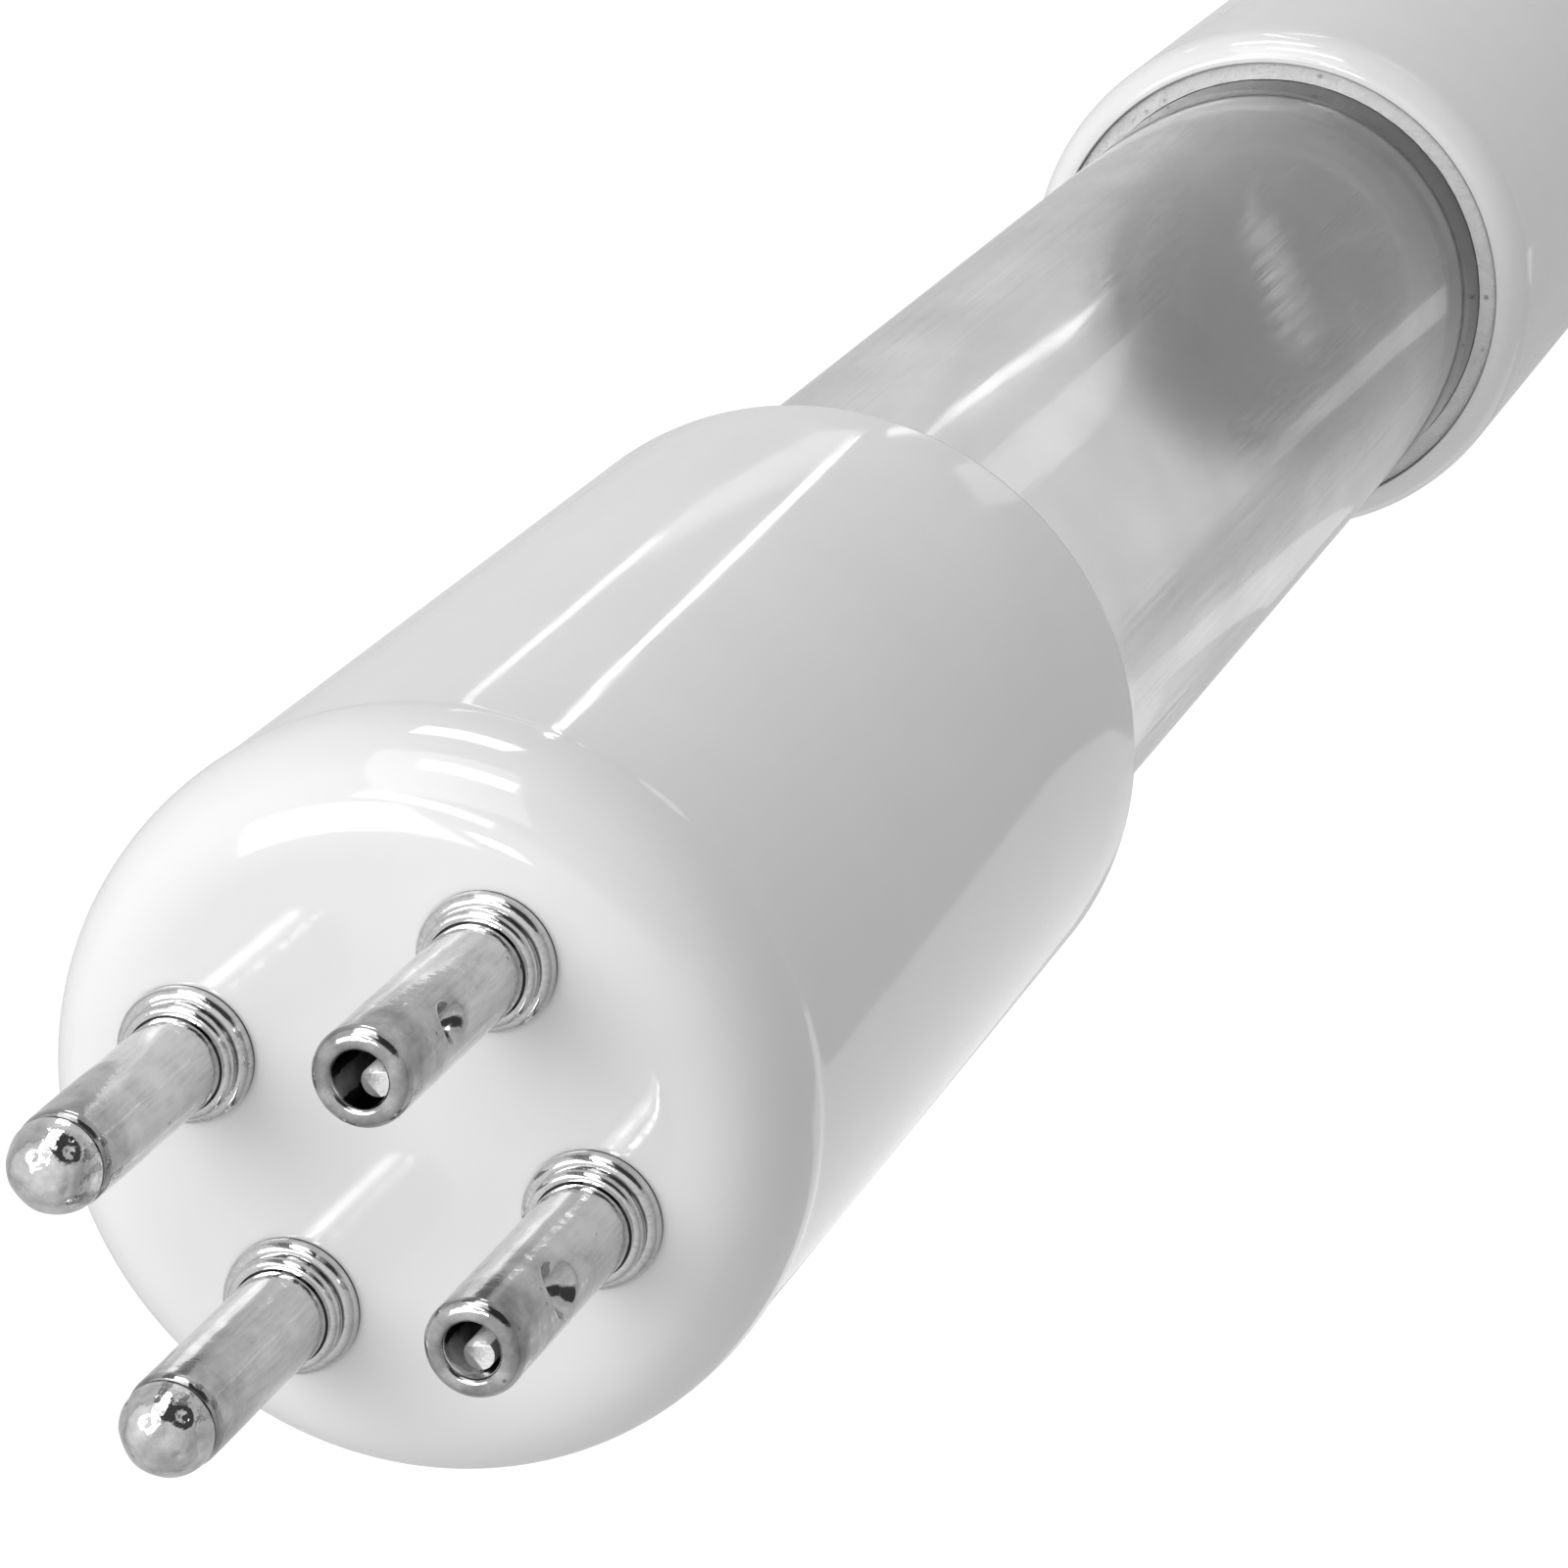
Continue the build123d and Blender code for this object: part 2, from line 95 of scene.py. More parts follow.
class Tree:
    """A node tree with short calls to add nodes and to link them."""

    def __init__(self, tree: bpy.types.NodeTree) -> None:
        """Holds the tree."""
        self.tree = tree

    @classmethod
    def of(cls, owner: bpy.types.ID) -> "Tree":
        """Turns on the nodes of a material or world and returns its emptied tree."""
        owner.use_nodes = True
        owner.node_tree.nodes.clear()
        return cls(owner.node_tree)

    def feed(self, node: bpy.types.Node, inputs: dict) -> None:
        """Sets or links a node's inputs.

        Args:
            node: The node.
            inputs: Values or output sockets by input name or number.
        """
        for key, value in inputs.items():
            if isinstance(value, Socket):
                self.tree.links.new(value, node.inputs[key])
            else:
                node.inputs[key].default_value = value

    def add(self, kind: str, inputs: Optional[dict] = None, **settings: object) -> bpy.types.Node:
        """Adds a node.

        Args:
            kind: The node's type without its ShaderNode prefix, or a full identifier.
            inputs: Values or output sockets by input name or number.
            settings: Attributes of the node itself.

        Returns:
            The new node.
        """
        identifier = kind if kind.startswith("Node") else f"ShaderNode{kind}"
        node = self.tree.nodes.new(identifier)
        for name, value in settings.items():
            setattr(node, name, value)
        self.feed(node, inputs or {})
        return node

    def math(self, operation: str, a: object, b: object = 0.0) -> Socket:
        """Adds a Math node and returns its value."""
        return self.add("Math", {0: a, 1: b}, operation=operation).outputs[0]

    def mix(self, factor: object, a: object, b: object) -> Socket:
        """Blends two colours and returns the blend."""
        return self.add("Mix", {0: factor, 6: a, 7: b}, data_type="RGBA").outputs[2]

    def remap(self, value: Socket, start: Point, end: Point, **settings: object) -> Socket:
        """Moves a value from one range to another and holds it there.

        Args:
            value: The value.
            start: The range that it comes from; its top may be a socket.
            end: The range that it goes to.
            settings: Attributes of the node.

        Returns:
            The moved value.
        """
        ends = {"From Min": start[0], "From Max": start[1], "To Min": end[0], "To Max": end[1]}
        return self.add("MapRange", {"Value": value, **ends}, **settings).outputs[0]

    def axes(self) -> tuple[Socket, Socket, Socket]:
        """X, Y and Z in millimetres."""
        where = self.add("TexCoord").outputs["Object"]
        scaled = self.add("Mapping", {"Vector": where, "Scale": (PER_MM,) * 3}).outputs[0]
        return tuple(self.add("SeparateXYZ", {0: scaled}).outputs)

    def bump(self, height: Socket, depth: float) -> Socket:
        """Makes a normal from a height between 0 and 1 and its depth in millimetres."""
        node = self.add("Bump", {"Height": height, "Strength": 1.0, "Distance": depth * MM})
        return node.outputs[0]

    def bands(self, height: Socket, levels: Iterable[float], width: float) -> Socket:
        """Marks the narrow bands above the given heights, in the creases, where the finishes paint shade.

        Args:
            height: The height in millimetres.
            levels: Heights at which a band starts.
            width: The bands' width.

        Returns:
            A mask of 1 inside each band.
        """
        mask = None
        for level in levels:
            above = self.math("GREATER_THAN", height, level + 0.005)
            fade = self.remap(height, (level + 0.6 * width, level + width), (1.0, 0.0))
            band = self.math("MULTIPLY", above, fade)
            mask = band if mask is None else self.math("MAXIMUM", mask, band)
        return mask


@dataclass(frozen=True)
class Effect:
    """A shader node group that several finishes share, made on its first use."""

    name: str
    inputs: dict[str, float]
    fill: Callable[[Tree, Sockets], Socket]

    def group(self) -> bpy.types.NodeTree:
        """Makes the group, or returns it if it is there."""
        known = bpy.data.node_groups.get(self.name)
        if known:
            return known
        group = bpy.data.node_groups.new(self.name, "ShaderNodeTree")
        for title, default in self.inputs.items():
            socket = group.interface.new_socket(title, in_out="INPUT", socket_type="NodeSocketFloat")
            socket.default_value = default
        group.interface.new_socket("level", in_out="OUTPUT", socket_type="NodeSocketFloat")
        tree = Tree(group)
        given = tree.add("NodeGroupInput").outputs
        tree.add("NodeGroupOutput", {"level": self.fill(tree, given)})
        return group

    def use(self, tree: Tree, **values: float) -> Socket:
        """Places the group in a material's tree and returns its level."""
        return tree.add("Group", values, node_tree=self.group()).outputs[0]


def dense_place(tree: Tree, density: Socket) -> Socket:
    """Object coordinates times a density per millimetre."""
    where = tree.add("TexCoord").outputs["Object"]
    size = tree.math("MULTIPLY", density, PER_MM)
    return tree.add("VectorMath", {0: where, 3: size}, operation="SCALE").outputs[0]


def fill_specks(tree: Tree, given: Sockets) -> Socket:
    """Round cells of which a few are kept, each a mask that is 1 in its middle.

    Args:
        tree: The group's tree.
        given: The group's inputs: cells per millimetre, the share kept and a speck's radius in cells.

    Returns:
        The mask.
    """
    place = dense_place(tree, given["density"])
    cells = tree.add("TexVoronoi", {"Vector": place, "Scale": 1.0, "Randomness": 1.0}, feature="F1")
    chance = tree.add("SeparateColor", {0: cells.outputs["Color"]}).outputs[0]
    kept = tree.math("LESS_THAN", chance, given["share"])
    reach = (0.0, given["radius"])
    near = tree.remap(cells.outputs["Distance"], reach, (1.0, 0.0), interpolation_type="SMOOTHSTEP")
    return tree.math("MULTIPLY", kept, near)


def fill_clouds(tree: Tree, given: Sockets) -> Socket:
    """Soft irregular clouds between 0 and 1: noise with its contrast raised.

    Args:
        tree: The group's tree.
        given: The group's inputs: clouds per millimetre and the noise's detail.

    Returns:
        The clouds.
    """
    place = dense_place(tree, given["density"])
    shape = {"Vector": place, "Scale": 1.0, "Detail": given["detail"], "Roughness": 0.55}
    return tree.remap(tree.add("TexNoise", shape).outputs[0], (0.3, 0.7), (0.0, 1.0))


def fill_streaks(tree: Tree, given: Sockets) -> Socket:
    """Fine streaks along the lamp's length, as drawing a tube or wire leaves them.

    Args:
        tree: The group's tree.
        given: The group's inputs: streaks per millimetre across and along the length.

    Returns:
        The streaks, between 0 and 1.
    """
    where = tree.add("TexCoord").outputs["Object"]
    parts = tree.add("SeparateXYZ", {0: where}).outputs
    across = tree.math("MULTIPLY", given["across"], PER_MM)
    along = tree.math("MULTIPLY", given["along"], PER_MM)
    stretched = {axis: tree.math("MULTIPLY", parts[axis], (across, across, along)[axis]) for axis in range(3)}
    joined = tree.add("CombineXYZ", stretched).outputs[0]
    streak = tree.add("TexNoise", {"Vector": joined, "Scale": 1.0, "Detail": 4.0, "Roughness": 0.6})
    return tree.remap(streak.outputs[0], (0.3, 0.7), (0.0, 1.0))


SPECKS = Effect("sparse_specks", {"density": 1.0, "share": 0.1, "radius": 0.12}, fill_specks)
CLOUDS = Effect("soft_clouds", {"density": 0.3, "detail": 3.0}, fill_clouds)
STREAKS = Effect("drawn_streaks", {"across": 8.0, "along": 0.4}, fill_streaks)


# Finishes


@dataclass(frozen=True)
class Finish:
    """What every finish has: a name and the record's slot that it stands for."""

    name: str
    slot: str

    def build(self) -> bpy.types.Material:
        """Makes the material, or returns it if it is there."""
        known = bpy.data.materials.get(self.name)
        if known:
            return known
        material = bpy.data.materials.new(self.name)
        tree = Tree.of(material)
        shader = tree.add("BsdfPrincipled")
        tree.add("OutputMaterial", {"Surface": shader.outputs[0]})
        tree.feed(shader, self.shade(tree))
        return material

    def shade(self, tree: Tree) -> dict[str, object]:
        """Values and sockets for the shader's inputs; each finish has its own."""
        raise NotImplementedError


@dataclass(frozen=True)
class Glaze(Finish):
    """White glazed ceramic: a nearly flat white with a thick clear glaze on it."""

    white: float = 0.86
    cloud: float = 0.83
    speck: float = 0.3
    bore: float = CERAMIC_BORE + 0.05
    bore_low: float = 20.0
    bore_high: float = FACE - FRONT_WALL + 0.5
    # Painted shade: the dark of the bores' walls
    bore_shade: float = 0.3
    rough: Point = (0.05, 0.11)
    flow: float = 0.4
    relief: float = 0.005

    def shade(self, tree: Tree) -> dict[str, object]:
        """Faint clouds, a few dark pinholes, a glaze that lies unevenly and painted shade in the bores."""
        clouds = CLOUDS.use(tree, density=0.16, detail=2.0)
        specks = SPECKS.use(tree, density=0.55, share=0.1, radius=0.035)
        x, y, z = tree.axes()
        flat = tree.add("CombineXYZ", {0: x, 1: y, 2: 0.0}).outputs[0]
        radius = tree.add("VectorMath", {0: flat}, operation="LENGTH").outputs["Value"]
        inside = tree.math("LESS_THAN", radius, self.bore)
        inside = tree.math("MULTIPLY", inside, tree.math("GREATER_THAN", z, self.bore_low))
        inside = tree.math("MULTIPLY", inside, tree.math("LESS_THAN", z, self.bore_high))
        body = tree.mix(clouds, grey(self.white), grey(self.cloud))
        # Painted shade: inside the bores the white is darkened to the shade that falls there
        body = tree.mix(inside, body, grey(self.bore_shade))
        smear = CLOUDS.use(tree, density=0.5, detail=4.0)
        flow = CLOUDS.use(tree, density=0.35, detail=1.0)
        height = tree.math("SUBTRACT", tree.math("MULTIPLY", flow, self.flow), specks)
        return {
            "Base Color": tree.mix(specks, body, grey(self.speck)),
            "Roughness": tree.remap(smear, (0.0, 1.0), self.rough),
            "Normal": tree.bump(height, self.relief),
            "IOR": 1.5,
            "Coat Weight": 0.2,
            "Coat Roughness": 0.03,
            "Coat IOR": 1.5,
        }


@dataclass(frozen=True)
class FusedQuartz(Finish):
    """Clear fused quartz with faint draw lines, grey near the far electrode from blackening and painted shade
    of the far cap's bore.
    """

    clear: float = 0.92
    cloudy: float = 0.84
    # Grey of the glass in the far cap: blackening and painted shade of the bore behind it
    end_grey_and_shade: float = 0.5
    grey_below: float = 32.5
    clear_above: float = 38.5
    rough: Point = (0.05, 0.1)
    relief: float = 0.002

    def shade(self, tree: Tree) -> dict[str, object]:
        """A clear tube whose surface keeps fine lines along its length."""
        film = CLOUDS.use(tree, density=0.25, detail=3.0)
        lines = STREAKS.use(tree, across=1.6, along=0.03)
        tint = tree.mix(film, grey(self.clear), grey(self.cloudy))
        # Painted shade: the glass in the far cap turns grey, for the shade of the bore behind it as well as
        # the discharge's blackening
        end_grey_and_shade_mask = tree.remap(tree.axes()[2], (self.grey_below, self.clear_above), (1.0, 0.0))
        return {
            "Base Color": tree.mix(end_grey_and_shade_mask, tint, grey(self.end_grey_and_shade)),
            "Roughness": tree.remap(film, (0.0, 1.0), self.rough),
            "Normal": tree.bump(lines, self.relief),
            "IOR": 1.46,
            "Transmission Weight": 1.0,
            "Metallic": 0.0,
        }


@dataclass(frozen=True)
class BrightPlating(Finish):
    """Bright plating on a drawn pin: soft scratches along it, small dents and dull patches."""

    bright: float = 0.66
    dull: float = 0.42
    # Painted reflection: the dark of the patches near the tip
    tip_reflection_dark: float = 0.24
    # Painted shade in the pits
    pit: float = 0.12
    # Painted shade in the creases above the grooves
    crease_shade: float = 0.05
    rough: Point = (0.07, 0.21)
    grooves: tuple[float, ...] = (FACE, FACE + COLLAR_THICKNESS, FACE + COLLAR_HEIGHT)
    groove_width: float = 0.09
    # Heights over which the tip's painted dark reflection grows
    tip_reflection_span: Point = (129.0, 132.2)
    dents: float = 0.8
    relief: float = 0.012

    def shade(self, tree: Tree) -> dict[str, object]:
        """Streaks and patches in the reflection, painted shade above each groove, a painted dark reflection
        near the tip, shallow dents with painted shade in them.
        """
        streaks = STREAKS.use(tree, across=9.0, along=0.9)
        patches = CLOUDS.use(tree, density=1.1, detail=4.0)
        pits = SPECKS.use(tree, density=1.6, share=0.22, radius=0.12)
        rubbed = tree.math("MULTIPLY", streaks, patches)
        body = tree.mix(rubbed, grey(self.bright), grey(self.dull))
        height = tree.axes()[2]
        # Painted reflection: towards the tip the patches turn dark, for a dark reflection there
        tip = tree.math("MULTIPLY", tree.remap(height, self.tip_reflection_span, (0.0, 1.0)), patches)
        body = tree.mix(tip, body, grey(self.tip_reflection_dark))
        # Painted shade: near-black bands just above the face and the collar's steps, where shade falls in the
        # creases
        body = tree.mix(tree.bands(height, self.grooves, self.groove_width), body, grey(self.crease_shade))
        relief = tree.math("SUBTRACT", tree.math("MULTIPLY", patches, self.dents), pits)
        return {
            # Painted shade: the pits are darkened as well as sunk
            "Base Color": tree.mix(pits, body, grey(self.pit)),
            "Roughness": tree.remap(rubbed, (0.0, 1.0), self.rough),
            "Normal": tree.bump(relief, self.relief),
            "Metallic": 1.0,
        }


@dataclass(frozen=True)
class Solder(Finish):
    """Bright solder that set with a skin, small pits and grey flux spots."""

    bright: float = 0.85
    flux: float = 0.5
    # Painted shade in the pits
    pit: float = 0.06
    # Painted shade in the seam
    crease_shade: float = 0.05
    rough: Point = (0.04, 0.16)
    seam: float = FACE + CLOSED_PIN_HEIGHT
    seam_width: float = 0.1
    relief: float = 0.02

    def shade(self, tree: Tree) -> dict[str, object]:
        """A mirror skin broken by pits with painted shade in them and dull spots, with painted shade in the
        seam.
        """
        spots = CLOUDS.use(tree, density=1.9, detail=3.0)
        pits = SPECKS.use(tree, density=2.2, share=0.3, radius=0.2)
        body = tree.mix(spots, grey(self.bright), grey(self.flux))
        # Painted shade: a dark band in the seam where the dome meets the pin
        seam = tree.bands(tree.axes()[2], (self.seam,), self.seam_width)
        body = tree.mix(seam, body, grey(self.crease_shade))
        return {
            # Painted shade: the pits are darkened as well as sunk
            "Base Color": tree.mix(pits, body, grey(self.pit)),
            "Roughness": tree.remap(spots, (0.0, 1.0), self.rough),
            "Normal": tree.bump(tree.math("SUBTRACT", spots, pits), self.relief),
            "Metallic": 1.0,
        }


@dataclass(frozen=True)
class DullMetal(Finish):
    """Plain wire, foil or sheet: a satin metal with grain along it and oxide clouds."""

    clean: float = 0.55
    oxide: float = 0.4
    rough: float = 0.28
    rough_spread: float = 0.15
    grain: float = 12.0
    relief: float = 0.006

    def shade(self, tree: Tree) -> dict[str, object]:
        """Grain in the roughness, oxide in the colour."""
        streaks = STREAKS.use(tree, across=self.grain, along=0.8)
        oxide = CLOUDS.use(tree, density=0.7, detail=4.0)
        return {
            "Base Color": tree.mix(oxide, grey(self.clean), grey(self.oxide)),
            "Roughness": tree.remap(streaks, (0.0, 1.0), (self.rough, self.rough + self.rough_spread)),
            "Normal": tree.bump(streaks, self.relief),
            "Metallic": 1.0,
        }


@dataclass(frozen=True)
class WovenSleeve(Finish):
    """White braided glass sleeving over a wire."""

    thread_rate: float = 14.0
    shaded: float = 0.66
    white: float = 0.84
    rough: Point = (0.75, 0.55)
    relief: float = 0.03

    def shade(self, tree: Tree) -> dict[str, object]:
        """Two sets of slanted threads that cross round the sleeve."""
        x, y, z = tree.axes()
        around = tree.math("ADD", x, y)
        rises = tree.math("MULTIPLY", tree.math("ADD", z, around), self.thread_rate)
        falls = tree.math("MULTIPLY", tree.math("SUBTRACT", z, around), self.thread_rate)
        weave = tree.math("MULTIPLY", tree.math("SINE", rises), tree.math("SINE", falls))
        thread = tree.remap(weave, (-1.0, 1.0), (0.0, 1.0))
        return {
            "Base Color": tree.mix(thread, grey(self.shaded), grey(self.white)),
            "Roughness": tree.remap(thread, (0.0, 1.0), self.rough),
            "Normal": tree.bump(thread, self.relief),
            "Sheen Weight": 0.2,
            "Sheen Roughness": 0.5,
            "IOR": 1.45,
        }


@dataclass(frozen=True)
class Mineral(Finish):
    """A matt mineral: basing cement or the coil's oxide coating."""

    pale: float = 0.62
    dark: float = 0.45
    grain: float = 4.0
    rough: Point = (0.7, 0.95)
    relief: float = 0.05

    def shade(self, tree: Tree) -> dict[str, object]:
        """Grains and pores, of which a pore is half as bright as the dark clouds."""
        clouds = CLOUDS.use(tree, density=0.8, detail=4.0)
        grains = CLOUDS.use(tree, density=self.grain, detail=5.0)
        pores = SPECKS.use(tree, density=1.4, share=0.35, radius=0.2)
        body = tree.mix(clouds, grey(self.pale), grey(self.dark))
        return {
            "Base Color": tree.mix(pores, body, grey(0.5 * self.dark)),
            "Roughness": tree.remap(grains, (0.0, 1.0), self.rough),
            "Normal": tree.bump(tree.math("SUBTRACT", grains, pores), self.relief),
        }


class Dress(Enum):
    """The lamp's finishes."""

    GLAZE = Glaze("white_glaze_finish", "white_glaze")
    QUARTZ = FusedQuartz("fused_quartz_finish", "quartz")
    PLATING = BrightPlating("pin_plating_finish", "pin_plating")
    SOLDER = Solder("bright_solder_finish", "solder")
    WIRE = DullMetal("nickel_wire_finish", "wire_metal", clean=0.7, oxide=0.6, rough=0.5)
    SLEEVE = WovenSleeve("woven_sleeve_finish", "sleeve_white")
    CEMENT = Mineral("basing_cement_finish", "cement", pale=0.86, dark=0.78)
    GUARD = DullMetal("guard_sheet_finish", "guard_metal", clean=0.2, oxide=0.1, rough=0.35, grain=6.0)
    MOLYBDENUM = DullMetal("molybdenum_finish", "molybdenum", clean=0.42, oxide=0.3, rough=0.3)
    COATING = Mineral(
        "oxide_coating_finish", "filament_coating", pale=0.8, dark=0.68, grain=9.0, relief=0.02
    )


# Mesh work


@dataclass
class Outline:
    """The half section of a turned piece: points of radius and height."""

    points: list[Point] = field(default_factory=list)

    def to(self, *points: Point) -> "Outline":
        """Adds corners."""
        self.points.extend(points)
        return self

    def down(self, radius: float, start: float, end: float, steps: int) -> "Outline":
        """Adds a straight wall at one radius, cut into steps."""
        for step in range(steps + 1):
            self.points.append((radius, start + (end - start) * step / steps))
        return self

    def sweep(self, centre: Point, radii: Point, turn: Point, steps: int, power: float = 1.0) -> "Outline":
        """Adds part of an ellipse.

        Args:
            centre: The ellipse's centre.
            radii: Its half widths along radius and height.
            turn: Angles of the first and last points, in degrees from outwards.
            steps: Segments between them.
            power: 1 for an ellipse; less gives fuller corners that meet the flats softly.

        Returns:
            The outline.
        """
        start, end = turn
        for step in range(steps + 1):
            angle = math.radians(start + (end - start) * step / steps)
            across, up = math.cos(angle), math.sin(angle)
            across = math.copysign(abs(across) ** power, across)
            up = math.copysign(abs(up) ** power, up)
            self.points.append((centre[0] + radii[0] * across, centre[1] + radii[1] * up))
        return self

    def bend(self, radius: float, height: float, bend: float, turn: Point, steps: int) -> "Outline":
        """Adds part of a circle of the radius bend about a centre at the given radius and height."""
        return self.sweep((radius, height), (bend, bend), turn, steps)

    def turn(self, steps: int, centre: Point = (0.0, 0.0), gap: Point = (0.0, 0.0)) -> Shape:
        """Spins the closed outline about a vertical line.

        Args:
            steps: Segments of the full turn.
            centre: Where the line stands.
            gap: Azimuth of the middle of a gap and its whole width, in degrees; no gap at a width of 0.

        Returns:
            The turned shape, in millimetres.
        """
        shape = bmesh.new()
        start = Matrix.Rotation(math.radians(gap[0] + gap[1] / 2.0), 3, "Z")
        corners = [shape.verts.new(start @ Vector((radius, 0.0, height))) for radius, height in self.points]
        sides = [shape.edges.new(pair) for pair in zip(corners, corners[1:])]
        if self.points[0][0] > 0.0 or self.points[-1][0] > 0.0:
            sides.append(shape.edges.new((corners[-1], corners[0])))
        whole = gap[1] == 0.0
        turned = bmesh.ops.spin(
            shape,
            geom=corners + sides,
            cent=(0, 0, 0),
            axis=(0, 0, 1),
            dvec=(0, 0, 0),
            angle=math.radians(360.0 - gap[1]),
            steps=steps,
            use_merge=whole,
            use_duplicate=False,
        )
        if not whole:
            last = [item for item in turned["geom_last"] if isinstance(item, bmesh.types.BMEdge)]
            bmesh.ops.contextual_create(shape, geom=sides)
            bmesh.ops.contextual_create(shape, geom=last)
        bmesh.ops.remove_doubles(shape, verts=shape.verts, dist=1e-5)
        bmesh.ops.translate(shape, verts=shape.verts, vec=(*centre, 0.0))
        return shape


class Workshop:
    """Makes finished pieces of the lamp and counts them."""

    def __init__(self, nodes: dict) -> None:
        """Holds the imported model's node objects."""
        self.nodes = nodes
        self.made = 0

    def keep(self, shape: Shape, name: str, dress: Dress, node: str, sharp: float) -> None:
        """Stores a shape as an object that rides on the lamp's body.

        Args:
            shape: The shape in metres, which is used up.
            name: The piece's name.
            dress: Its finish.
            node: The node that it stands for.
            sharp: The angle from which an edge stays sharp, in degrees.
        """
        for face in shape.faces:
            face.smooth = True
        mesh = bpy.data.meshes.new(name)
        shape.to_mesh(mesh)
        shape.free()
        mesh.set_sharp_from_angle(angle=math.radians(sharp))
        mesh.materials.append(dress.value.build())
        piece = bpy.data.objects.new(name, mesh)
        bpy.context.scene.collection.objects.link(piece)
        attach(piece, BODY)
        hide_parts(node)
        self.made += 1
        LOG.info("%s: %d faces, %s", name, len(mesh.polygons), dress.value.name)

    def finish(
        self, shape: Shape, name: str, dress: Dress, node: str, sharp: float = 35.0, hollow: bool = False
    ) -> None:
        """Turns a shape in millimetres into a piece of the lamp.

        Args:
            shape: The shape, which is used up.
            name: The piece's name.
            dress: Its finish.
            node: The node that it stands for.
            sharp: The angle from which an edge stays sharp, in degrees.
            hollow: Whether it holds a closed inner shell, with both shells' normals set already.
        """
        if not hollow:
            bmesh.ops.recalc_face_normals(shape, faces=shape.faces)
        bmesh.ops.scale(shape, vec=(MM, MM, MM), verts=shape.verts)
        self.keep(shape, name, dress, node, sharp)

    def smooth_copy(self, node: str, name: str, dress: Dress, sharp: float = 35.0) -> None:
        """Merges the loose triangles of a node's mesh in a copy that is shaded smooth.

        Args:
            node: The node.
            name: The new piece's name.
            dress: Its finish.
            sharp: The angle from which an edge stays sharp, in degrees.
        """
        shape = bmesh.new()
        shape.from_mesh(self.nodes[node].data)
        bmesh.ops.remove_doubles(shape, verts=shape.verts, dist=1e-7)
        bmesh.ops.dissolve_degenerate(shape, dist=1e-8, edges=shape.edges)
        self.keep(shape, name, dress, node, sharp)


# Sub-assemblies


@dataclass
class WireChannel:
    """The channel in a ceramic's bore where the two sleeved wires pass."""

    azimuth: float = CHANNEL_AZIMUTH
    half_angle: float = 3.95
    path_radius: float = 7.99
    half_width: float = 0.55

    def radius_at(self, azimuth: float, bore: float) -> float:
        """The bore's radius at an azimuth in degrees, with the channel's depth where it runs."""
        turn = abs((azimuth - self.azimuth + 180.0) % 360.0 - 180.0)
        beyond = math.radians(max(0.0, turn - self.half_angle)) * self.path_radius
        if beyond >= self.half_width:
            return bore
        return max(bore, self.path_radius + math.sqrt(self.half_width**2 - beyond**2))

    def cut(self, shape: Shape, bore: float) -> None:
        """Pushes the bore's wall out along the channel.

        Args:
            shape: The ceramic.
            bore: Its bore's radius.
        """
        for vert in shape.verts:
            if abs(math.hypot(vert.co.x, vert.co.y) - bore) < 1e-3:
                azimuth = math.atan2(vert.co.y, vert.co.x)
                radius = self.radius_at(math.degrees(azimuth), bore)
                vert.co.x = radius * math.cos(azimuth)
                vert.co.y = radius * math.sin(azimuth)


@dataclass
class Ceramic:
    """A turned glazed ceramic with a bore for the tube and a channel for the wires."""

    piece: str
    node: str
    radius: float = CERAMIC_RADIUS
    bore: float = CERAMIC_BORE
    steps: int = 360
    side_steps: int = 12
    bore_steps: int = 4

    def outline(self) -> Outline:
        """The section; each ceramic has its own."""
        raise NotImplementedError

    def build(self, shop: Workshop) -> None:
        """Turns the ceramic and cuts the wires' channel."""
        shape = self.outline().turn(self.steps)
        WireChannel().cut(shape, self.bore)
        shop.finish(shape, self.piece, Dress.GLAZE, self.node, sharp=50.0)


@dataclass
class GlazedBase(Ceramic):
    """The glazed ceramic base that carries the four pins."""

    piece: str = "glazed_base"
    node: str = "ceramic_base"
    face_rings: tuple[float, ...] = (0.0, 2.0, 4.5, 5.8)
    edge: Point = (2.7, 3.4)
    edge_power: float = 0.84
    edge_steps: int = 48
    bead: float = 0.05
    bead_height: float = 0.7
    bead_steps: int = 8
    rear_round: float = 0.8
    mouth_round: float = 0.25

    def outline(self) -> Outline:
        """The section: face, rounded edge, a faint glaze bead, side, rear rounding, bore."""
        side = self.radius - self.bead
        edge_low = FACE - self.edge[1]
        section = Outline().to(*((ring, FACE) for ring in self.face_rings))
        edge_centre = (self.radius - self.edge[0], edge_low)
        section.sweep(edge_centre, self.edge, (90.0, 0.0), self.edge_steps, self.edge_power)
        for step in range(1, self.bead_steps + 1):
            share = step / self.bead_steps
            fade = 0.5 - 0.5 * math.cos(math.pi * share)
            section.to((self.radius - self.bead * fade, edge_low - self.bead_height * share))
        rear = BASE_MOUTH + self.rear_round
        section.down(side, edge_low - self.bead_height - 0.5, rear, self.side_steps)
        section.bend(side - self.rear_round, rear, self.rear_round, (0.0, -90.0), 10)
        mouth = BASE_MOUTH + self.mouth_round
        section.bend(self.bore + self.mouth_round, mouth, self.mouth_round, (-90.0, -180.0), 5)
        cavity_top = FACE - FRONT_WALL
        return section.down(self.bore, BASE_MOUTH + 1.0, cavity_top, self.bore_steps).to((0.0, cavity_top))


